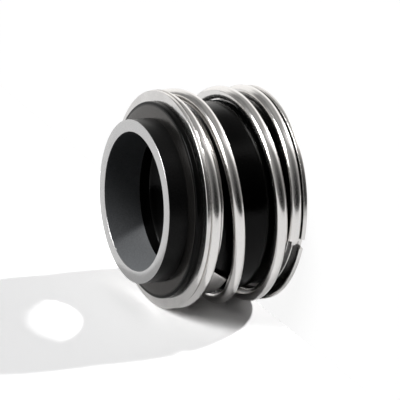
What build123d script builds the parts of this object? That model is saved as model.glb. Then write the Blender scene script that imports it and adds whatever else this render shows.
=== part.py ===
from build123d import *
from math import cos, degrees, exp, radians, sin
import os

# Rotating unit of an elastomer-bellows shaft seal: a carbon face ring held in a moulded rubber bellows,
# two pressed sheet collars and one compression spring wound round the bellows.
# Millimetres. +Z runs along the shaft axis to the sealing face. The origin is on the axis, in the plane of
# the rear collar's outer face. Angles are in degrees from +X towards +Y.

# ---- driving dimensions ----------------------------------------------------------------------------------
free_length = 30.7          # rear collar's outer face to the sealing face, spring relaxed

# carbon face ring
shaft_radius = 15.0
ring_clearance = 0.6        # face ring's bore over the shaft
nose_wall = 2.75            # width of the sealing face
shoulder_step = 1.05        # body of the ring stands out behind the nose
nose_length = 5.9           # sealing face to the shoulder
body_length = 3.0           # shoulder to the ring's back face
ring_edge = 0.12            # chamfer on the ring's edges

# rubber bellows
seat_gap = 0.05             # rubber to whatever it carries or is clamped by
head_wall = 1.15            # rubber between the face ring and the front collar
lip_setback = 4.8           # sealing face to the lip's outer edge
lip_crown = 0.3             # lip's inner edge stands forward of its outer edge
lip_bow = 20.0              # radius of the lip's crowned face
lip_land = 0.2              # lip reaches past the collar's bend
lip_round = 0.35
sleeve_clearance = 1.0      # head's inner sleeve over the shaft
fold_wall = 1.9             # thickness of the convolution
crest_rise = 0.95           # convolution stands out from the head and tail
crest_setback = 6.0         # end of the rear collar's leg to the crest of the convolution
grip_length = 6.0           # length of the tail's bore that grips the shaft
tail_recess = 0.2           # tail ends inside the rear collar's outer face
tail_round = 0.5
bore_lead = 0.5             # chamfer at the mouth of the grip

# pressed collars
sheet = 0.95
bend_radius = 0.3           # inside of the bend
front_leg_length = 5.4      # front flange's outer face to the end of its leg
rear_leg_length = 2.5
rim_round = 0.2
flange_inset = 0.19         # flange's rim inside the spring's outer radius
head_depth = 6.1            # sealing face to the front collar's outer face
lug_height = 1.55           # lug above the flange's spring side
lug_width = 1.5             # along the rim
notch_width = 2.3
notch_depth = 1.1           # rim to the lug's outer side
tongue_reach = 4.4          # tongue beyond the end of the leg
tongue_width = 12.8         # at its root
tongue_tip_width = 9.7
tongue_flare = 0.5          # tongue leans out to its tip
tongue_corner = 1.8
tongue_nick = 0.4
tongue_angle = -67.5        # middle of the tongue's root

# spring
wire_diameter = 2.86
guide_gap = 0.23            # spring's inside over the collars' legs
seat_play = 0.03            # end turns to the flanges
tip_gap = 0.15              # wire's rear end to the lug
front_tip_angle = 100.0
wound_angle = 1208.4        # from the front tip to the rear tip, right-hand
stand_off = 0.42            # first turn leaves the front flange by this much past its ground part
climb_angles = (372.0, 522.0, 846.0)    # where the wire climbs, from the front tip
climb_spreads = (13.5, 35.0, 54.0)
first_climb = 0.176         # shares of the whole climb
second_climb = 0.497
grind_dip = 4.8             # front end runs on into the flange's plane, and is ground flat there
grind_angle = 10.0
grind_spread = 41.0
points_per_turn = 20

# ---- derived radii ---------------------------------------------------------------------------------------
ring_bore = shaft_radius + ring_clearance
nose_radius = ring_bore + nose_wall
body_radius = nose_radius + shoulder_step
rubber_radius = body_radius + seat_gap + head_wall
leg_inner = rubber_radius + seat_gap
leg_outer = leg_inner + sheet
lip_radius = leg_outer + bend_radius + lip_land
wire_radius = wire_diameter / 2
coil_radius = leg_outer + guide_gap + wire_radius
flange_radius = coil_radius + wire_radius - flange_inset
lug_outer = flange_radius - notch_depth
sleeve_radius = shaft_radius + sleeve_clearance
fold_inner = rubber_radius - fold_wall

# ---- derived heights -------------------------------------------------------------------------------------
shoulder_z = free_length - nose_length
ring_back_z = shoulder_z - body_length
lip_z = free_length - lip_setback
front_collar_z = free_length - head_depth
front_leg_end_z = front_collar_z - front_leg_length
coil_seat = sheet + seat_play + wire_radius      # flange's outer face to the middle of an end turn
rear_coil_z = coil_seat
front_coil_z = front_collar_z - coil_seat
crest_z = rear_leg_length + crest_setback
grip_end_z = tail_recess + grip_length


def turned(profile):
    """Revolve a closed profile, drawn on the XZ plane, about the shaft axis."""
    return revolve(Plane.XZ * profile, Axis.Z)


def sector(inner, outer, low, high, start, width):
    """Part of a ring, between two radii, two heights and two angles."""
    section = Pos((inner + outer) / 2, (low + high) / 2) * Rectangle(outer - inner, high - low)
    return Rot(Z=start) * revolve(Plane.XZ * section, Axis.Z, width)


def face_ring():
    """Carbon ring with a lapped front face, held by its shoulder."""
    section = Polyline(
        (ring_bore, ring_back_z),
        (body_radius, ring_back_z),
        (body_radius, shoulder_z),
        (nose_radius, shoulder_z),
        (nose_radius, free_length),
        (ring_bore, free_length),
        close=True,
    )
    ring = turned(make_face(section))
    rims = ring.edges().filter_by(GeomType.CIRCLE)
    front_rims = rims.filter_by(lambda rim: rim.center().Z > shoulder_z + ring_edge)
    body_rims = rims.filter_by(lambda rim: rim.radius > body_radius - ring_edge)
    return chamfer(front_rims + body_rims, ring_edge)


def bellows():
    """One moulding: head round the face ring, thin convolution, tail on the shaft."""
    bend = bend_radius + sheet + seat_gap
    bend_centre_z = front_collar_z - bend_radius - sheet
    bend_start = rubber_radius + bend
    rest = sheet / 2
    outside = (
        RadiusArc((nose_radius + seat_gap, lip_z + lip_crown), (lip_radius - lip_round, lip_z), lip_bow)
        + RadiusArc((lip_radius - lip_round, lip_z), (lip_radius, lip_z - lip_round), lip_round)
        + Line((lip_radius, lip_z - lip_round), (lip_radius, front_collar_z + seat_gap))
        + Line((lip_radius, front_collar_z + seat_gap), (bend_start, front_collar_z + seat_gap))
        + RadiusArc((bend_start, front_collar_z + seat_gap), (rubber_radius, bend_centre_z), -bend)
        + Line((rubber_radius, bend_centre_z), (rubber_radius, front_leg_end_z - rest))
        + Spline(
            (rubber_radius, front_leg_end_z - rest),
            (rubber_radius + crest_rise, crest_z),
            (rubber_radius, rear_leg_length + rest),
            tangents=((0, -1), (0, -1), (0, -1)),
        )
        + Line((rubber_radius, rear_leg_length + rest), (rubber_radius, tail_recess + tail_round))
        + RadiusArc((rubber_radius, tail_recess + tail_round), (rubber_radius - tail_round, tail_recess), tail_round)
    )
    fold_high = front_leg_end_z - fold_wall
    inside = (
        Line((rubber_radius - tail_round, tail_recess), (shaft_radius + bore_lead, tail_recess))
        + Line((shaft_radius + bore_lead, tail_recess), (shaft_radius, tail_recess + bore_lead))
        + Line((shaft_radius, tail_recess + bore_lead), (shaft_radius, grip_end_z))
        + Spline(
            (shaft_radius, grip_end_z),
            (fold_inner + crest_rise, crest_z),
            (fold_inner, fold_high),
            (sleeve_radius, front_leg_end_z),
            tangents=((1, 0), (-1, 0)),
        )
        + Line((sleeve_radius, front_leg_end_z), (sleeve_radius, ring_back_z - seat_gap))
        + Polyline(
            (sleeve_radius, ring_back_z - seat_gap),
            (body_radius + seat_gap, ring_back_z - seat_gap),
            (body_radius + seat_gap, shoulder_z + seat_gap),
            (nose_radius + seat_gap, shoulder_z + seat_gap),
            (nose_radius + seat_gap, lip_z + lip_crown),
        )
    )
    return turned(make_face(outside + inside))


def collar(leg_length):
    """Pressed L-ring with its outer face at z = 0 and its leg towards +Z."""
    outline = make_face(Polyline(
        (leg_inner, 0),
        (flange_radius, 0),
        (flange_radius, sheet),
        (leg_outer, sheet),
        (leg_outer, leg_length),
        (leg_inner, leg_length),
        close=True,
    ))
    corners = outline.vertices()
    outline = fillet(corners.sort_by_distance((leg_outer, sheet))[0], bend_radius)
    corners = outline.vertices()
    outline = fillet(corners.sort_by_distance((leg_inner, 0))[0], bend_radius + sheet)
    corners = outline.vertices()
    outline = fillet(corners.sort_by_distance((flange_radius, sheet / 2))[:2], rim_round)
    return turned(outline)


def rear_collar():
    """Collar with a lug, bent up out of a notch in its rim, that stops the end of the wire."""
    lug_span = degrees(lug_width / lug_outer)
    notch_span = degrees(notch_width / flange_radius)
    lug_angle = front_tip_angle - wound_angle - degrees(tip_gap / coil_radius) - lug_span / 2
    notch = sector(lug_outer, flange_radius + sheet, -sheet, 2 * sheet, lug_angle - notch_span / 2, notch_span)
    lug = sector(lug_outer - sheet, lug_outer, sheet / 2, sheet + lug_height, lug_angle - lug_span / 2, lug_span)
    return collar(rear_leg_length) - notch + lug


def front_collar():
    """Collar turned over, with a tongue that reaches over the bellows between the first two turns."""
    return Pos(0, 0, front_collar_z) * Rot(X=180) * (collar(front_leg_length) + Rot(Z=-tongue_angle) * tongue())


def tongue():
    """Tongue that carries the leg on past its end and leans outwards, centred on +X."""
    low = front_leg_length - sheet
    high = front_leg_length + tongue_reach
    shell = turned(make_face(Polyline(
        (leg_inner, low),
        (leg_outer, low),
        (leg_outer, front_leg_length),
        (leg_outer + tongue_flare, high),
        (leg_inner + tongue_flare, high),
        (leg_inner, front_leg_length),
        close=True,
    )))
    edge = tongue_width / 2
    plan = make_face(Polyline(
        (edge, low),
        (edge, high),
        (edge - tongue_tip_width, high),
        (-edge, front_leg_length),
        (-edge, low),
        close=True,
    ))
    plan = fillet(plan.vertices().sort_by_distance((edge, high))[0], tongue_corner)
    plan = fillet(plan.vertices().sort_by_distance((edge - tongue_tip_width, high))[0], tongue_nick)
    stamp = extrude(Plane.YZ * plan, leg_outer + 2 * sheet + tongue_flare)
    return shell & stamp


def step_up(angle, middle, spread):
    """Smooth step from 0 to 1."""
    return 1 / (1 + exp((middle - angle) / spread))


def wire_height(angle):
    """Height of the wire's middle, at an angle from the front tip."""
    start = front_coil_z - stand_off
    shares = (first_climb, second_climb, 1 - first_climb - second_climb)
    steps = zip(shares, climb_angles, climb_spreads)
    done = sum(share * step_up(angle, middle, spread) for share, middle, spread in steps)
    dip = grind_dip * (1 - step_up(angle, grind_angle, grind_spread))
    return start + dip - (start - rear_coil_z) * done


def spring():
    """Closed-end compression spring: its front end is ground flat, and the turns between climb unevenly."""
    steps = round(wound_angle / 360 * points_per_turn)
    path_points = []
    for step in range(steps + 1):
        angle = wound_angle * step / steps
        heading = radians(front_tip_angle - angle)
        path_points.append((coil_radius * cos(heading), coil_radius * sin(heading), wire_height(angle)))
    path = Spline(*path_points)
    section = Plane(origin=path @ 0, z_dir=path % 0) * Circle(wire_radius)
    ground_z = front_collar_z - sheet - seat_play
    waste = Pos(0, 0, ground_z) * Cylinder(
        flange_radius + wire_diameter, wire_diameter * 2, align=(Align.CENTER, Align.CENTER, Align.MIN)
    )
    return sweep(section, path, is_frenet=True) - waste


pieces = {
    "face_ring": face_ring(),
    "bellows": bellows(),
    "front_collar": front_collar(),
    "rear_collar": rear_collar(),
    "spring": spring(),
}

os.makedirs("parts", exist_ok=True)
for name, piece in pieces.items():
    export_step(piece, f"parts/{name}.step")
    print(name, round(piece.volume, 1))
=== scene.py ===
import math

import bpy
import numpy as np
from mathutils import Matrix, Vector


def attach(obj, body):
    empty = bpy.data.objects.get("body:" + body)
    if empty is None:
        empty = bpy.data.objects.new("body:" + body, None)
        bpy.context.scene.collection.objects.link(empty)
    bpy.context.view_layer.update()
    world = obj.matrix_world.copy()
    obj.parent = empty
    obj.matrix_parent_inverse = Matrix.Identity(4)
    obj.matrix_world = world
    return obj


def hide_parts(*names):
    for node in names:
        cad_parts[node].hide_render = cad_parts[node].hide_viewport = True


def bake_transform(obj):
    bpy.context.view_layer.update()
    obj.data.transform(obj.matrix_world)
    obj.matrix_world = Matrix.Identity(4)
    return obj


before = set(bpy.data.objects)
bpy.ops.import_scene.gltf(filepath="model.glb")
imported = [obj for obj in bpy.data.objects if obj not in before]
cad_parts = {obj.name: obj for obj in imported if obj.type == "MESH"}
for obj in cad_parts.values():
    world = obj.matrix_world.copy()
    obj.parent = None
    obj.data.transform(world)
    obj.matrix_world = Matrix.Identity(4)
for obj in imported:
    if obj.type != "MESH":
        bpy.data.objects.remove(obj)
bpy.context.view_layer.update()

# Visual model of the rotating unit of a rubber-bellows shaft seal: carbon face ring, bellows, two pressed
# collars, a lug and the spring. It stands in its CAD frame with the drive end at height 0 and the sealing
# face on top. The camera and the second floor show it lying, as it was photographed.

MM = 0.001

# ---- sizes of the seal, in millimetres and degrees, as in its CAD source ---------------------------------
FREE_LENGTH = 30.7
RING_BORE, NOSE_RADIUS, BODY_RADIUS = 15.6, 18.35, 19.4
SHOULDER_Z, RING_BACK_Z = 24.8, 21.8
SHAFT_RADIUS, SLEEVE_RADIUS = 15.0, 16.0
RUBBER_RADIUS, LIP_RADIUS, LIP_Z = 20.6, 22.1, 25.9
SEAT_GAP = 0.05
LIP_CROWN, LIP_BOW, LIP_ROUND = 0.3, 20.0, 0.35
CREST_RISE, CREST_Z, FOLD_INNER, FOLD_WALL = 0.95, 8.5, 18.7, 1.9
GRIP_END_Z, TAIL_Z, TAIL_ROUND, BORE_LEAD = 6.2, 0.2, 0.5, 0.5
LEG_INNER, LEG_OUTER, FLANGE_RADIUS, RIM_ROUND = 20.65, 21.6, 24.5, 0.2
SHEET, BEND, LEG_LENGTH, REAR_LEG_LENGTH = 0.95, 0.3, 5.4, 2.5
FRONT_Z = 24.6
FRONT_LEG_END_Z = FRONT_Z - LEG_LENGTH
TONGUE_ANGLE, TONGUE_REACH, TONGUE_FLARE = -67.5, 4.4, 0.5
TONGUE_WIDTH, TONGUE_TIP_WIDTH, TONGUE_CORNER = 12.8, 9.7, 1.8
COIL_RADIUS, WIRE_RADIUS = 23.26, 1.43
FRONT_TIP_ANGLE, WOUND_ANGLE = 100.0, 1208.4
COIL_SEAT, SEAT_PLAY, STAND_OFF = 2.41, 0.03, 0.42
CLIMBS = ((0.176, 372.0, 13.5), (0.497, 522.0, 35.0), (0.327, 846.0, 54.0))    # share, angle, spread
GRIND_DIP, GRIND_ANGLE, GRIND_SPREAD = 4.8, 10.0, 41.0
LUG_HEIGHT, LUG_WIDTH, NOTCH_WIDTH, LUG_OUTER, TIP_GAP = 1.55, 1.5, 2.3, 23.4, 0.15

# ---- fineness of the meshes ------------------------------------------------------------------------------
AROUND = 360                # columns round the axis
WIRE_SECTIONS = 1209        # sections along the wire
WIRE_SIDES = 32
SMOOTH_ANGLE = 35.0         # edges sharper than this, in degrees, stay sharp


# ---- meshes ----------------------------------------------------------------------------------------------
def arc(centre, radius, start, end, steps=6):
    """Points on an arc in the (radius, height) plane; angles in degrees."""
    turns = np.radians(np.linspace(start, end, steps + 1))
    return [(centre[0] + radius * math.cos(t), centre[1] + radius * math.sin(t)) for t in turns]


def run(a, b, steps):
    """Points from a to b, both included."""
    return [tuple(np.array(a) + (np.array(b) - np.array(a)) * i / steps) for i in range(steps + 1)]


def bowed(a, b, radius, steps):
    """Points on an arc from a to b that bulges to the left of the way there."""
    a, b = np.array(a, float), np.array(b, float)
    half = (b - a) / 2
    left = np.array([-half[1], half[0]]) / np.linalg.norm(half)
    centre = a + half - left * math.sqrt(radius ** 2 - half @ half)
    start, end = (math.degrees(math.atan2(*(p - centre)[::-1])) for p in (a, b))
    return arc(centre, radius, start, end, steps)


def bent(a, a_way, b, b_way, pull, steps):
    """Points on a cubic curve that leaves a and reaches b in the given directions."""
    a, b = np.array(a, float), np.array(b, float)
    reach = np.linalg.norm(b - a) * pull
    inner, outer = a + np.array(a_way) * reach, b - np.array(b_way) * reach
    points = []
    for t in np.linspace(0, 1, steps + 1):
        u = 1 - t
        points.append(tuple(u ** 3 * a + 3 * u * u * t * inner + 3 * u * t * t * outer + t ** 3 * b))
    return points


def rounded(corners, radii, steps=5):
    """Closed outline of the corners, each rounded by its own radius."""
    points = []
    count = len(corners)
    for i in range(count):
        here = np.array(corners[i], float)
        before = np.array(corners[i - 1], float) - here
        after = np.array(corners[(i + 1) % count], float) - here
        before /= np.linalg.norm(before)
        after /= np.linalg.norm(after)
        half = math.acos(max(-1.0, min(1.0, float(before @ after)))) / 2
        reach = radii[i] / math.tan(half)
        centre = here + (before + after) / np.linalg.norm(before + after) * radii[i] / math.sin(half)
        start, end = here + before * reach - centre, here + after * reach - centre
        a0 = math.atan2(start[1], start[0])
        sweep = math.atan2(end[1], end[0]) - a0
        sweep = (sweep + math.pi) % (2 * math.pi) - math.pi
        for k in range(steps + 1):
            t = a0 + sweep * k / steps
            points.append((centre[0] + radii[i] * math.cos(t), centre[1] + radii[i] * math.sin(t)))
    return points


def add_mesh(name, points, faces, smooth_angle=SMOOTH_ANGLE):
    """Mesh object in metres from points in millimetres."""
    mesh = bpy.data.meshes.new(name)
    mesh.from_pydata([tuple(p) for p in np.asarray(points) * MM], [], faces)
    mesh.validate()
    obj = bpy.data.objects.new(name, mesh)
    bpy.context.scene.collection.objects.link(obj)
    mesh.polygons.foreach_set("use_smooth", [True] * len(mesh.polygons))
    mesh.set_sharp_from_angle(angle=math.radians(smooth_angle))
    return obj


def ring_faces(columns, rows):
    """Quads of a closed ring of closed outlines: columns round the axis, rows round the outline."""
    faces = []
    for i in range(columns):
        j = (i + 1) % columns
        for k in range(rows):
            m = (k + 1) % rows
            faces.append((i * rows + k, i * rows + m, j * rows + m, j * rows + k))
    return faces


def lathe(name, outline, angles, shape=None, smooth_angle=SMOOTH_ANGLE):
    """Turn a closed outline round the axis. shape(points, angle) can change the outline at each angle."""
    outline = np.array(outline, float)
    points = []
    for angle in angles:
        section = outline if shape is None else shape(outline.copy(), angle)
        c, s = math.cos(math.radians(angle)), math.sin(math.radians(angle))
        points.append(np.c_[section[:, 0] * c, section[:, 0] * s, section[:, 1]])
    return add_mesh(name, np.concatenate(points), ring_faces(len(angles), len(outline)), smooth_angle)


def full_turn(extra=()):
    """Angles of the columns round the axis, with extra ones where an edge is needed."""
    return sorted(set(np.round(np.arange(0, 360, 360 / AROUND), 5)) | {round(a % 360, 5) for a in extra})


def build_face_ring():
    """Carbon ring with a step outside, down to its narrower nose."""
    edge, nook = 0.12, 0.05
    corners = [
        (RING_BORE, RING_BACK_Z), (BODY_RADIUS, RING_BACK_Z), (BODY_RADIUS, SHOULDER_Z),
        (NOSE_RADIUS, SHOULDER_Z), (NOSE_RADIUS, FREE_LENGTH), (RING_BORE, FREE_LENGTH),
    ]
    outline = rounded(corners, [nook, edge, edge, nook, edge, edge], 3)
    return lathe("face_ring_carbon", outline, full_turn())


def build_bellows():
    """Head round the face ring, bowed fold and gripping tail, moulded in one."""
    bend = BEND + SHEET + SEAT_GAP
    rest = SHEET / 2
    back_round = 0.1
    below_lip, above_back = 0.05, 0.02      # the lip's side starts and ends this far from its rounds
    tail_step = 0.3
    slow, quick = 0.36, 0.42
    low_z, high_z = REAR_LEG_LENGTH + rest, FRONT_LEG_END_Z - rest
    nose_seat, body_seat = NOSE_RADIUS + SEAT_GAP, BODY_RADIUS + SEAT_GAP
    collar_back = FRONT_Z + SEAT_GAP
    back_seat_z, shoulder_seat_z = RING_BACK_Z - SEAT_GAP, SHOULDER_Z + SEAT_GAP
    crest = (RUBBER_RADIUS + CREST_RISE, CREST_Z)
    inner_crest = (FOLD_INNER + CREST_RISE, CREST_Z)
    inner_high = (FOLD_INNER, FRONT_LEG_END_Z - FOLD_WALL)
    down, up, outwards, inwards, leaning = (0, -1), (0.0, 1.0), (1, 0), (-1, 0), (0.33, 0.94)
    outside = (
        bowed((nose_seat, LIP_Z + LIP_CROWN), (LIP_RADIUS - LIP_ROUND, LIP_Z), LIP_BOW, 8)
        + arc((LIP_RADIUS - LIP_ROUND, LIP_Z - LIP_ROUND), LIP_ROUND, 80, 0, 6)
        + run((LIP_RADIUS, LIP_Z - LIP_ROUND - below_lip),
              (LIP_RADIUS, collar_back + back_round + above_back), 3)
        + arc((LIP_RADIUS - back_round, collar_back + back_round), back_round, 0, -90, 3)[1:]
        + arc((RUBBER_RADIUS + bend, collar_back - bend), bend, 90, 180, 8)
        + run((RUBBER_RADIUS, collar_back - bend), (RUBBER_RADIUS, high_z), 5)[1:]
        + bent((RUBBER_RADIUS, high_z), down, crest, down, slow, 24)[1:]
        + bent(crest, down, (RUBBER_RADIUS, low_z), down, slow, 16)[1:]
        + run((RUBBER_RADIUS, low_z), (RUBBER_RADIUS, TAIL_Z + TAIL_ROUND), 5)[1:]
        + arc((RUBBER_RADIUS - TAIL_ROUND, TAIL_Z + TAIL_ROUND), TAIL_ROUND, 0, -90, 5)[1:]
    )
    inside = (
        run((RUBBER_RADIUS - TAIL_ROUND - tail_step, TAIL_Z), (SHAFT_RADIUS + BORE_LEAD, TAIL_Z), 4)
        + run((SHAFT_RADIUS + BORE_LEAD, TAIL_Z), (SHAFT_RADIUS, TAIL_Z + BORE_LEAD), 2)[1:]
        + run((SHAFT_RADIUS, TAIL_Z + BORE_LEAD), (SHAFT_RADIUS, GRIP_END_Z), 6)[1:]
        + bent((SHAFT_RADIUS, GRIP_END_Z), outwards, inner_crest, leaning, quick, 12)[1:]
        + bent(inner_crest, leaning, inner_high, up, slow, 16)[1:]
        + bent(inner_high, up, (SLEEVE_RADIUS, FRONT_LEG_END_Z), inwards, quick, 10)[1:]
        + run((SLEEVE_RADIUS, FRONT_LEG_END_Z), (SLEEVE_RADIUS, back_seat_z), 4)[1:]
        + run((SLEEVE_RADIUS, back_seat_z), (body_seat, back_seat_z), 4)[1:]
        + run((body_seat, back_seat_z), (body_seat, shoulder_seat_z), 4)[1:]
        + run((body_seat, shoulder_seat_z), (nose_seat, shoulder_seat_z), 2)[1:]
        + run((nose_seat, shoulder_seat_z), (nose_seat, LIP_Z + LIP_CROWN), 4)[1:-1]
    )
    return lathe("bellows_rubber", outside + inside, full_turn())


def collar_outline(length):
    """Section of a pressed collar, with its outer face at height 0 and its leg upwards."""
    rim, edge = RIM_ROUND, 0.08
    heel = BEND + SHEET
    tip = length - edge
    flange = (
        arc((LEG_INNER + heel, heel), heel, 180, 270, 10)
        + run((LEG_INNER + heel, 0), (FLANGE_RADIUS - rim, 0), 6)[1:]
        + arc((FLANGE_RADIUS - rim, rim), rim, -90, 0, 4)[1:]
        + run((FLANGE_RADIUS, rim), (FLANGE_RADIUS, SHEET - rim), 2)[1:]
        + arc((FLANGE_RADIUS - rim, SHEET - rim), rim, 0, 90, 4)[1:]
        + run((FLANGE_RADIUS - rim, SHEET), (LEG_OUTER + BEND, SHEET), 6)[1:]
        + arc((LEG_OUTER + BEND, heel), BEND, 270, 180, 5)[1:]
    )
    outer = run((LEG_OUTER, heel), (LEG_OUTER, tip), 12)[1:]
    end = arc((LEG_OUTER - edge, tip), edge, 0, 90, 3)[1:] + arc((LEG_INNER + edge, tip), edge, 90, 180, 3)
    inner = run((LEG_INNER, tip), (LEG_INNER, heel), 12)[1:-1]
    return flange + outer + end + inner


def tongue_reach(arc_mm):
    """How far the tongue reaches past the leg's end, at a distance along the leg from the tongue's middle."""
    edge = TONGUE_WIDTH / 2
    slant_top = edge - TONGUE_TIP_WIDTH
    if arc_mm > edge or arc_mm < -edge:
        return 0.0
    if arc_mm > edge - TONGUE_CORNER:
        past = arc_mm - (edge - TONGUE_CORNER)
        return TONGUE_REACH - TONGUE_CORNER + math.sqrt(max(TONGUE_CORNER ** 2 - past ** 2, 0.0))
    if arc_mm < slant_top:
        return TONGUE_REACH * (arc_mm + edge) / (slant_top + edge)
    return TONGUE_REACH


def build_front_collar():
    """Collar whose leg runs out into the tongue; made flange down, then turned over."""
    outline = collar_outline(LEG_LENGTH)
    middle = -TONGUE_ANGLE
    half = math.degrees(TONGUE_WIDTH / 2 / LEG_OUTER)
    tongue_columns = 90
    outside, inside = 0.01, 0.02    # columns next to the tongue's straight side, in degrees from it
    extra = list(np.linspace(middle - half, middle + half, tongue_columns))
    extra += [middle + half + outside, middle + half - inside]
    start = SHEET + BEND + 1.2      # the leg is as it was up to here, and stretches beyond

    def shape(points, angle):
        around = (angle - middle + 180) % 360 - 180
        reach = tongue_reach(math.radians(around) * LEG_OUTER)
        high = points[:, 1] > start
        stretched = (points[high, 1] - start) * (LEG_LENGTH + reach - start) / (LEG_LENGTH - start)
        points[high, 1] = start + stretched
        past = np.clip(points[:, 1] - LEG_LENGTH, 0, None)
        points[:, 0] += TONGUE_FLARE * past / TONGUE_REACH
        return points

    obj = lathe("front_collar_pressed", outline, full_turn(extra), shape, smooth_angle=40.0)
    obj.data.transform(Matrix.Translation((0, 0, FRONT_Z * MM)) @ Matrix.Rotation(math.pi, 4, "X"))
    return obj


def lug_angle():
    """Direction of the lug's middle, just past the wire's rear end."""
    wire_end = FRONT_TIP_ANGLE - WOUND_ANGLE
    return wire_end - math.degrees(TIP_GAP / COIL_RADIUS) - math.degrees(LUG_WIDTH / LUG_OUTER) / 2


def build_rear_collar():
    """Collar with a notch in its rim, where the lug was bent up."""
    middle = lug_angle()
    half = math.degrees(NOTCH_WIDTH / FLANGE_RADIUS) / 2
    notch_columns = 12
    outside, slack = 0.02, 0.001    # columns next to the notch, and what still counts as in it, in degrees
    extra = list(np.linspace(middle - half, middle + half, notch_columns))
    extra += [middle - half - outside, middle + half + outside]
    depth = FLANGE_RADIUS - LUG_OUTER

    def shape(points, angle):
        around = (angle - middle + 180) % 360 - 180
        if abs(around) <= half + slack:
            wide = points[:, 0] > LEG_OUTER + BEND
            span = FLANGE_RADIUS - LEG_OUTER - BEND
            points[wide, 0] -= (points[wide, 0] - LEG_OUTER - BEND) / span * depth
        return points

    outline = collar_outline(REAR_LEG_LENGTH)
    return lathe("rear_collar_pressed", outline, full_turn(extra), shape, smooth_angle=40.0)


def build_lug():
    """Lug bent up out of the rear collar's notch."""
    middle = lug_angle()
    half = math.degrees(LUG_WIDTH / LUG_OUTER) / 2
    core = half * 0.7
    sink, edge, ease = 0.03, 0.12, 0.3
    foot_round, top_round = 0.01, 0.25
    inner, outer, low, high = LUG_OUTER - SHEET, LUG_OUTER, SHEET - sink, SHEET + LUG_HEIGHT
    corners = [(inner, low), (outer, low), (outer, high), (inner, high)]
    section = rounded(corners, [foot_round, foot_round, top_round, top_round], 4)
    edge_turn = math.degrees(edge / outer)
    sides = [(half, -edge), (half - edge_turn * ease, -edge * ease), (half - edge_turn, 0.0)]
    cols = [(middle - away, grow) for away, grow in sides]
    cols += [(middle + away, 0.0) for away in np.linspace(-core, core, 6)]
    cols += [(middle + away, grow) for away, grow in reversed(sides)]
    points, faces = [], []
    centre = np.array([(inner + outer) / 2, low])
    for angle, grow in cols:
        pts = np.array(section)
        size = np.array([(outer - inner) / 2, high - low])
        pts = centre + (pts - centre) * (1 + grow / size)
        c, s = math.cos(math.radians(angle)), math.sin(math.radians(angle))
        points += [(p[0] * c, p[0] * s, p[1]) for p in pts]
    rows = len(section)
    for i in range(len(cols) - 1):
        for k in range(rows):
            m = (k + 1) % rows
            faces.append((i * rows + k, i * rows + m, (i + 1) * rows + m, (i + 1) * rows + k))
    faces.append(tuple(range(rows))[::-1])
    faces.append(tuple(range((len(cols) - 1) * rows, len(cols) * rows)))
    return add_mesh("rear_collar_lug", points, faces, smooth_angle=50.0)


def step_up(angle, middle, spread):
    """Smooth step from 0 to 1 round the middle angle."""
    return 1 / (1 + math.exp((middle - angle) / spread))


def wire_height(angle):
    """Height of the wire's middle, by the angle wound from its front tip."""
    start = FRONT_Z - COIL_SEAT - STAND_OFF
    done = sum(share * step_up(angle, middle, spread) for share, middle, spread in CLIMBS)
    dip = GRIND_DIP * (1 - step_up(angle, GRIND_ANGLE, GRIND_SPREAD))
    return start + dip - (start - COIL_SEAT) * done


def build_spring():
    """Right-hand spring of round wire, with its front turn ground flat under the front flange."""
    ground = FRONT_Z - SHEET - SEAT_PLAY
    rows = WIRE_SIDES
    points, faces = [], []
    for i in range(WIRE_SECTIONS):
        angle = WOUND_ANGLE * i / (WIRE_SECTIONS - 1)
        heading = math.radians(FRONT_TIP_ANGLE - angle)
        slope = (wire_height(angle + 0.5) - wire_height(angle - 0.5)) / math.radians(1)
        radial = np.array([math.cos(heading), math.sin(heading), 0])
        along = np.array([math.sin(heading), -math.cos(heading), slope / COIL_RADIUS])
        along /= np.linalg.norm(along)
        upright = np.cross(radial, along)
        upright *= math.copysign(1, upright[2])
        centre = radial * COIL_RADIUS + np.array([0, 0, wire_height(angle)])
        rise = (ground - centre[2]) / upright[2]
        half_chord = math.sqrt(max(WIRE_RADIUS ** 2 - rise ** 2, 0))
        for k in range(rows):
            t = 2 * math.pi * k / rows
            out, up = WIRE_RADIUS * math.cos(t), WIRE_RADIUS * math.sin(t)
            if up > rise:
                up = rise
                if rise < 0:
                    out = max(-half_chord, min(half_chord, out))
            points.append(centre + radial * out + upright * up)
    for i in range(WIRE_SECTIONS - 1):
        for k in range(rows):
            m = (k + 1) % rows
            faces.append((i * rows + k, (i + 1) * rows + k, (i + 1) * rows + m, i * rows + m))
    faces.append(tuple(range(rows)))
    faces.append(tuple(range((WIRE_SECTIONS - 1) * rows, WIRE_SECTIONS * rows))[::-1])
    return add_mesh("spring_wire_coil", points, faces, smooth_angle=40.0)


# ---- camera ----------------------------------------------------------------------------------------------
LENS, SENSOR_WIDTH = 199.8, 36.0
CAMERA_DISTANCE = 500.0
CAMERA_RIGHT, CAMERA_BACK = (0.4416, -0.0817, -0.8935), (0.8965, 0.0, 0.4431)
AIM_HEIGHT, AIM_RIGHT, AIM_DOWN = 16.7, 2.347, 0.651


def build_camera():
    """Camera at the photograph's viewing angle, rolled as the lying seal is."""
    right = Vector(CAMERA_RIGHT).normalized()
    back = Vector(CAMERA_BACK)
    back = (back - right * back.dot(right)).normalized()
    up = back.cross(right)
    target = Vector((0, 0, AIM_HEIGHT)) + right * AIM_RIGHT - up * AIM_DOWN
    data = bpy.data.cameras.new("camera")
    data.lens, data.sensor_width = LENS, SENSOR_WIDTH
    data.clip_start, data.clip_end = 0.01, 20.0
    camera = bpy.data.objects.new("camera", data)
    place = Matrix((right, up, back)).transposed().to_4x4()
    place.translation = (target + back * CAMERA_DISTANCE) * MM
    camera.matrix_world = place
    bpy.context.scene.collection.objects.link(camera)
    bpy.context.scene.camera = camera


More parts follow.
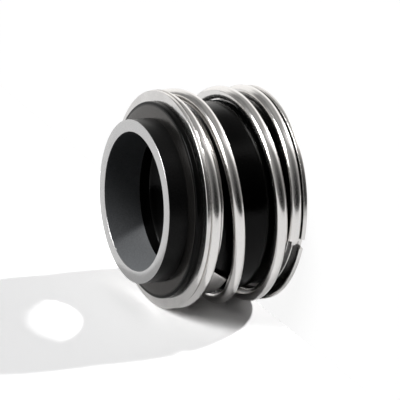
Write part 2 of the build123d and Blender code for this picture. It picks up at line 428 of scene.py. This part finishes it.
# ---- materials -------------------------------------------------------------------------------------------
class Nodes:
    """Short way to write a material's node tree."""

    def __init__(self, name):
        self.material = bpy.data.materials.new(name)
        self.material.use_nodes = True
        self.tree = self.material.node_tree
        self.tree.nodes.clear()
        self.place = self.add("ShaderNodeTexCoord").outputs["Object"]

    def add(self, kind, values=None, **settings):
        node = self.tree.nodes.new(kind)
        for key, value in settings.items():
            setattr(node, key, value)
        for key, value in (values or {}).items():
            if isinstance(value, bpy.types.NodeSocket):
                self.tree.links.new(value, node.inputs[key])
            else:
                node.inputs[key].default_value = value
        return node

    def noise(self, scale, detail=3.0, rough=0.55, vector=None):
        """Noise with its scale in cycles a millimetre."""
        values = {"Vector": vector or self.place, "Scale": scale / MM, "Detail": detail, "Roughness": rough}
        return self.add("ShaderNodeTexNoise", values).outputs["Fac"]

    def maths(self, operation, a, b=0.0):
        return self.add("ShaderNodeMath", {0: a, 1: b}, operation=operation).outputs[0]

    def times(self, a, b):
        return self.maths("MULTIPLY", a, b)

    def shared(self, a, b, share):
        """Mix of two values, with the given share of the first."""
        return self.maths("ADD", self.times(a, share), self.times(b, 1 - share))

    def scaled(self, value, low, high, start=0.0, end=1.0):
        """Map start..end to low..high, without going past them."""
        values = {"Value": value, "From Min": start, "From Max": end, "To Min": low, "To Max": high}
        return self.add("ShaderNodeMapRange", values).outputs["Result"]

    def spread(self, noise, low=0.35, high=0.65):
        """Stretch the part of a noise between low and high to 0..1."""
        return self.scaled(noise, 0.0, 1.0, low, high)

    def past(self, place, start, end):
        """Mask that goes from 0 at the start to 1 at the end, both in millimetres."""
        return self.scaled(place, 0.0, 1.0, start * MM, end * MM)

    def before(self, place, start, end):
        """Mask that goes from 1 at the start to 0 at the end, both in millimetres."""
        return self.scaled(place, 1.0, 0.0, start * MM, end * MM)

    def mixed(self, factor, a, b):
        return self.add("ShaderNodeMix", {"Factor": factor, 6: a, 7: b}, data_type="RGBA").outputs[2]

    def radius(self):
        """Distance from the shaft axis and the height above the tail face, in metres."""
        x, y, z = self.add("ShaderNodeSeparateXYZ", {0: self.place}).outputs
        return self.maths("SQRT", self.maths("ADD", self.times(x, x), self.times(y, y))), z

    def rings(self, radius, height):
        """Place that is the same all round the axis, for the marks of turning."""
        return self.add("ShaderNodeCombineXYZ", {0: radius, 1: 0.0, 2: height}).outputs[0]

    def bump(self, height, distance, normal=None):
        """Bump whose height 0..1 is worth the distance in millimetres."""
        values = {"Height": height, "Distance": distance * MM, "Strength": 1.0}
        if normal is not None:
            values["Normal"] = normal
        return self.add("ShaderNodeBump", values).outputs[0]

    def surface(self, **values):
        shader = self.add("ShaderNodeBsdfPrincipled")
        for key, value in values.items():
            key = key.replace("_", " ")
            if isinstance(value, bpy.types.NodeSocket):
                self.tree.links.new(value, shader.inputs[key])
            else:
                shader.inputs[key].default_value = value
        self.tree.links.new(shader.outputs[0], self.add("ShaderNodeOutputMaterial").inputs[0])
        return self.material


def grey(value, warmth=0.0):
    return (value * (1 + warmth), value, value * (1 - warmth), 1.0)


def rubber_material():
    """Black moulded rubber, with thin dust. The flat of the lip has a painted sheen: it is paler and nearly
    metallic, so it reflects more brightly than the rest.
    """
    n = Nodes("moulded_rubber")
    radius, height = n.radius()
    grain, fine, cloud = n.noise(1.6, 4.0), n.noise(14.0, 2.0), n.noise(0.12, 2.0)
    bump = n.bump(fine, 0.004)
    bump = n.bump(grain, 0.02, normal=bump)
    bump = n.bump(cloud, 0.06, normal=bump)
    rough = n.scaled(n.shared(cloud, grain, 0.6), 0.10, 0.26, 0.35, 0.65)
    dust = n.times(n.spread(n.noise(0.9, 5.0, 0.7), 0.55, 0.75), 0.04)
    colour = n.mixed(dust, grey(0.0015, -0.02), grey(0.02, 0.02))
    # painted sheen: the flat front of the lip is paler and nearly metallic, so its reflection is brighter
    # than on the other rubber
    lip_flat = n.before(radius, RUBBER_RADIUS + 0.5, RUBBER_RADIUS + 1.0)
    painted_lip_sheen = n.times(n.past(height, LIP_Z - 0.3, LIP_Z - 0.1), lip_flat)
    colour = n.mixed(painted_lip_sheen, colour, grey(0.085, 0.05))
    return n.surface(Base_Color=colour, Metallic=n.times(painted_lip_sheen, 0.9), Roughness=rough,
                     IOR=1.45, Specular_IOR_Level=0.12, Normal=bump)


def carbon_material():
    """Turned carbon: black outside, grey and bare in the bore, and lapped bright on the sealing face."""
    n = Nodes("carbon_graphite")
    radius, height = n.radius()
    speck, cloud = n.noise(3.2, 3.0, 0.7), n.noise(0.22, 3.0)
    turned_marks = n.noise(9.0, 2.0, vector=n.rings(radius, height))
    bump = n.bump(speck, 0.004)
    bump = n.bump(turned_marks, 0.003, normal=bump)
    lapped = n.past(height, FREE_LENGTH - 0.08, FREE_LENGTH - 0.04)
    bored = n.times(n.before(radius, RING_BORE + 0.2, RING_BORE + 0.6), n.maths("SUBTRACT", 1.0, lapped))
    speckled = n.spread(speck, 0.3, 0.7)
    outside = n.mixed(speckled, grey(0.004), grey(0.014, 0.01))
    inside = n.mixed(speckled, grey(0.13, -0.04), grey(0.19, -0.04))
    face = n.mixed(speckled, grey(0.54), grey(0.62, 0.01))
    colour = n.mixed(lapped, n.mixed(bored, outside, inside), face)
    turned = n.scaled(n.shared(cloud, speck, 0.5), 0.30, 0.38, 0.35, 0.65)
    rough = n.maths("ADD", n.maths("SUBTRACT", turned, n.times(lapped, 0.12)), n.times(bored, 0.1))
    return n.surface(Base_Color=colour, Metallic=n.times(lapped, 0.92), Roughness=rough,
                     IOR=1.45, Specular_IOR_Level=0.15, Normal=bump)


def sheet_material():
    """Pressed steel with turned polish. The rear flange's inner face is painted black as painted shade, where
    it lies in the hollow under the spring.
    """
    n = Nodes("pressed_steel_sheet")
    radius, height = n.radius()
    marks = n.noise(5.5, 3.0, 0.6, vector=n.rings(radius, height))
    cloud, scratch = n.noise(0.25, 3.0), n.noise(2.0, 4.0, 0.6)
    bump = n.bump(marks, 0.004)
    bump = n.bump(cloud, 0.02, normal=bump)
    rough = n.scaled(n.shared(marks, scratch, 0.5), 0.14, 0.26, 0.35, 0.65)
    colour = n.mixed(n.spread(cloud), grey(0.68, 0.02), grey(0.77, 0.02))
    # painted shade: the flat inner face of the rear flange, in shade under the last turn, is painted black
    # and made non-metallic
    flat_height = n.times(n.past(height, SHEET - 0.10, SHEET - 0.03),
                          n.before(height, SHEET + 0.05, SHEET + 0.09))
    flat_width = n.times(n.past(radius, LEG_OUTER + 0.1, LEG_OUTER + 0.3),
                         n.before(radius, FLANGE_RADIUS - 0.5, FLANGE_RADIUS - 0.3))
    painted_shade_face = n.times(flat_height, flat_width)
    colour = n.mixed(painted_shade_face, colour, grey(0.006))
    tangent = n.add("ShaderNodeTangent", direction_type="RADIAL", axis="Z").outputs[0]
    return n.surface(Base_Color=colour, Metallic=n.maths("SUBTRACT", 1.0, painted_shade_face), Roughness=rough,
                     Anisotropic=0.5, Tangent=tangent, Normal=bump)


def wire_material():
    """Drawn steel wire with a soft polish."""
    n = Nodes("spring_wire")
    fine, cloud = n.noise(5.0, 3.0, 0.6), n.noise(0.35, 3.0)
    bump = n.bump(fine, 0.0015)
    bump = n.bump(cloud, 0.012, normal=bump)
    rough = n.scaled(n.shared(cloud, fine, 0.6), 0.13, 0.21, 0.35, 0.65)
    colour = n.mixed(n.spread(fine), grey(0.75, 0.02), grey(0.83, 0.02))
    return n.surface(Base_Color=colour, Metallic=1.0, Roughness=rough, Normal=bump)


# ---- studio ----------------------------------------------------------------------------------------------
# The photograph shows the seal lying down. UP is square to the surface it lies on there, FRONT points along
# that surface towards the camera, and SIDE to the camera's right.
UP = np.array([0.3812, 0.9245, 0.0])
UP = UP / np.linalg.norm(UP)
FRONT = np.array(CAMERA_BACK)
FRONT = (FRONT - UP * (FRONT @ UP)) / np.linalg.norm(FRONT - UP * (FRONT @ UP))
SIDE = np.cross(UP, FRONT)

STEEL = 0.82                # share of the light that polished steel gives back
DARK, ROOM, PANEL, STRIP = 0.01, 0.29, 0.92, 0.95       # brightness of the studio's parts, seen in steel
STUDIO_TINT = (1.0, 0.99, 0.975)
STUDIO_RADIUS = 6.0
AMBIENT = (0.045, 0.045, 0.047, 1)      # even light of the world on the object
FLOOR_PAINT, FLOOR_HALF = 0.95, 4.0
FLOOR_GAP = 0.00002         # metres below the standing seal, so that the floor does not touch it
LYING_DEPTH = 0.02472       # metres from the shaft axis to the surface the seal lies on
LAMP_DISTANCE = 4.0


def direction(azimuth, elevation):
    """Unit vector, with azimuth 0 towards the camera and 90 to its right, above the surface it lies on."""
    a, e = math.radians(azimuth), math.radians(elevation)
    return math.cos(e) * (math.cos(a) * FRONT + math.sin(a) * SIDE) + math.sin(e) * UP


def above(value, edge, softness):
    """0 below the edge and 1 above it, with a soft change."""
    t = np.clip((value - edge) / softness * 0.5 + 0.5, 0, 1)
    return t * t * (3 - 2 * t)


def below(value, edge, softness):
    """1 below the edge and 0 above it, with a soft change."""
    return above(-value, -edge, softness)


def between(value, start, end, softness):
    return above(value, start, softness) * below(value, end, softness)


def disc_mask(d, azimuth, elevation, radius, softness):
    """1 inside a disc of the sky round the given direction, with a soft edge; all in degrees."""
    away = np.degrees(np.arccos(np.clip(d @ direction(azimuth, elevation), -1, 1)))
    return 1 - above(away, radius, softness)


def studio_light(d):
    """Brightness of the studio in the directions d, as polished metal shows it. Angles are in degrees."""
    elevation = np.degrees(np.arcsin(np.clip(d @ UP, -1, 1)))
    azimuth = np.degrees(np.arctan2(d @ SIDE, d @ FRONT))

    # the room is dark in front, to the right of the camera, and grey further round
    dark_azimuth, dark_elevation = 38, 8
    left_reach, right_reach, height_reach = 85.0, 68.0, 62
    falloff = 2.4
    across = azimuth - dark_azimuth
    reach = np.where(across < 0, left_reach, right_reach)
    far = np.sqrt((across / reach) ** 2 + ((elevation - dark_elevation) / height_reach) ** 2)
    light = np.minimum(DARK + ROOM * far ** falloff, ROOM)

    # a large pale panel stands behind the seal, open at its top and cut off high up on the left
    opening = disc_mask(d, -152, 69, radius=34, softness=10)
    panel = disc_mask(d, -175, 45, radius=62, softness=7) * (1 - opening)
    panel = panel * (1 - between(azimuth, -98, -30, 6) * above(elevation, 42, 8))

    # a darker gap crosses the panel's left side and widens upwards
    lean, gap_shade = 0.6, 0.45
    gap_left = -126 - lean * (elevation - 25)
    gap_right = -100 + lean * np.maximum(elevation - 10, 0)
    gap = between(azimuth, gap_left, gap_right, 5) * below(elevation, 58, 12)
    light = light + (PANEL - light) * panel * (1 - gap)
    light = light * (1 - gap_shade * gap)

    # a pale strip stands low on the left
    strip = between(azimuth, -86, -58, 5) * below(elevation, 20, 4)
    light = light + (STRIP - light) * strip
    return light / STEEL


def build_studio():
    """Shell round the object that metal, carbon and rubber reflect. It lights nothing else."""
    bpy.ops.mesh.primitive_uv_sphere_add(segments=192, ring_count=96, radius=STUDIO_RADIUS)
    shell = bpy.context.object
    shell.name = "studio_panels"
    co = np.empty(len(shell.data.vertices) * 3)
    shell.data.vertices.foreach_get("co", co)
    co = co.reshape(-1, 3)
    light = studio_light(co / np.linalg.norm(co, axis=1, keepdims=True))
    tint = np.c_[light[:, None] * STUDIO_TINT, np.ones(len(light))]
    shell.data.color_attributes.new("studio", "FLOAT_COLOR", "POINT").data.foreach_set("color", tint.ravel())
    shell.data.polygons.foreach_set("use_smooth", [True] * len(shell.data.polygons))
    n = Nodes("studio_panels")
    colour = n.add("ShaderNodeVertexColor", layer_name="studio").outputs[0]
    glow = n.add("ShaderNodeEmission", {"Color": colour, "Strength": 1.0})
    n.tree.links.new(glow.outputs[0], n.add("ShaderNodeOutputMaterial").inputs[0])
    n.material.cycles.emission_sampling = "NONE"
    shell.data.materials.append(n.material)
    shell.visible_camera = shell.visible_diffuse = shell.visible_shadow = False


def build_world():
    """White for the camera, metal and glass, and a low even light on the object."""
    world = bpy.data.worlds.new("world")
    bpy.context.scene.world = world
    world.use_nodes = True
    tree = world.node_tree
    tree.nodes.clear()
    path = tree.nodes.new("ShaderNodeLightPath")
    reflected, seen = tree.nodes.new("ShaderNodeMath"), tree.nodes.new("ShaderNodeMath")
    reflected.operation = seen.operation = "MAXIMUM"
    tree.links.new(path.outputs["Is Glossy Ray"], reflected.inputs[0])
    tree.links.new(path.outputs["Is Transmission Ray"], reflected.inputs[1])
    tree.links.new(path.outputs["Is Camera Ray"], seen.inputs[0])
    tree.links.new(reflected.outputs[0], seen.inputs[1])
    soft, back = tree.nodes.new("ShaderNodeBackground"), tree.nodes.new("ShaderNodeBackground")
    soft.inputs[0].default_value = AMBIENT
    back.inputs[0].default_value = (1, 1, 1, 1)
    mix = tree.nodes.new("ShaderNodeMixShader")
    tree.links.new(seen.outputs[0], mix.inputs[0])
    tree.links.new(soft.outputs[0], mix.inputs[1])
    tree.links.new(back.outputs[0], mix.inputs[2])
    tree.links.new(mix.outputs[0], tree.nodes.new("ShaderNodeOutputWorld").inputs[0])


def add_lamp(name, aim, size, level):
    """Square lamp that lights a white surface square to it up to the given level."""
    lamp = bpy.data.lights.new(name, "AREA")
    lamp.shape = "RECTANGLE"
    lamp.size = lamp.size_y = size
    lamp.energy = level * (math.pi * LAMP_DISTANCE) ** 2
    obj = bpy.data.objects.new(name, lamp)
    aim = Vector(aim).normalized()
    across = Vector(UP).cross(aim).normalized()
    place = Matrix((across, aim.cross(across), aim)).transposed().to_4x4()
    place.translation = aim * LAMP_DISTANCE
    obj.matrix_world = place
    obj.visible_camera = False
    bpy.context.scene.collection.objects.link(obj)


def build_floor(name, origin, normal, camera_paint, camera_glow):
    """Pale floor seen from its front only. The camera sees it whiter by its paint and its glow."""
    mesh = bpy.data.meshes.new(name)
    corners = [(x * FLOOR_HALF, y * FLOOR_HALF, 0) for x, y in ((-1, -1), (1, -1), (1, 1), (-1, 1))]
    mesh.from_pydata(corners, [], [(0, 1, 2, 3)])
    floor = bpy.data.objects.new(name, mesh)
    floor.rotation_mode = "QUATERNION"
    floor.rotation_quaternion = Vector(normal).to_track_quat("Z", "Y")
    floor.location = Vector(origin)
    bpy.context.scene.collection.objects.link(floor)
    n = Nodes(name)
    rays = n.add("ShaderNodeLightPath").outputs
    white = n.maths("ADD", n.times(rays["Is Camera Ray"], camera_paint - FLOOR_PAINT), FLOOR_PAINT)
    paint = n.add("ShaderNodeBsdfDiffuse", {"Color": white}).outputs[0]
    glow = n.add("ShaderNodeEmission", {"Color": (1, 1, 1, 1), "Strength": 1.0}).outputs[0]
    share = n.times(rays["Is Camera Ray"], camera_glow)
    mix = n.add("ShaderNodeMixShader", {0: share, 1: paint, 2: glow}).outputs[0]
    behind = n.add("ShaderNodeNewGeometry").outputs["Backfacing"]
    clear = n.add("ShaderNodeBsdfTransparent").outputs[0]
    shown = n.add("ShaderNodeMixShader", {0: behind, 1: mix, 2: clear}).outputs[0]
    n.tree.links.new(shown, n.add("ShaderNodeOutputMaterial").inputs[0])
    floor.data.materials.append(n.material)
    floor.visible_shadow = False
    return floor


# ---- scene -----------------------------------------------------------------------------------------------
bpy.context.scene.view_settings.view_transform = "Standard"
build_camera()

face_ring = build_face_ring()
bellows = build_bellows()
front_collar = build_front_collar()
rear_collar = build_rear_collar()
lug = build_lug()
spring = build_spring()

carbon, rubber = carbon_material(), rubber_material()
sheet_steel, wire_steel = sheet_material(), wire_material()
for piece, material, slot in (
    (face_ring, carbon, "carbon"),
    (bellows, rubber, "rubber"),
    (front_collar, sheet_steel, "sheet_steel"),
    (rear_collar, sheet_steel, "sheet_steel"),
    (lug, sheet_steel, "sheet_steel"),
    (spring, wire_steel, "spring_wire"),
):
    piece.data.materials.append(material)

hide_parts("face_ring")
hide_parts("front_collar")
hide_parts("rear_collar")
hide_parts("bellows")
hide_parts("spring")
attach(face_ring, "face_end")
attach(front_collar, "face_end")
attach(rear_collar, "drive_end")
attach(lug, "drive_end")
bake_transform(bellows)
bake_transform(spring)

build_studio()
build_world()

# the seal stands on the first floor, and the second is the surface on which the photograph shows it lying
stand_floor = build_floor("floor", (0, 0, -FLOOR_GAP), (0, 0, 1), camera_paint=1.35, camera_glow=0.92)
stand_floor.visible_glossy = stand_floor.visible_diffuse = False
lying_floor = build_floor("lying_floor", UP * -LYING_DEPTH, UP, camera_paint=1.68, camera_glow=0.0)
lying_floor.visible_diffuse = False

# the broad lamp lights the seal softly from the left, and the small one from behind on the right
add_lamp("left_softbox", direction(-71, 28), size=1.7, level=0.90)
add_lamp("right_spot", direction(125.8, 36.25), size=0.2, level=0.78)
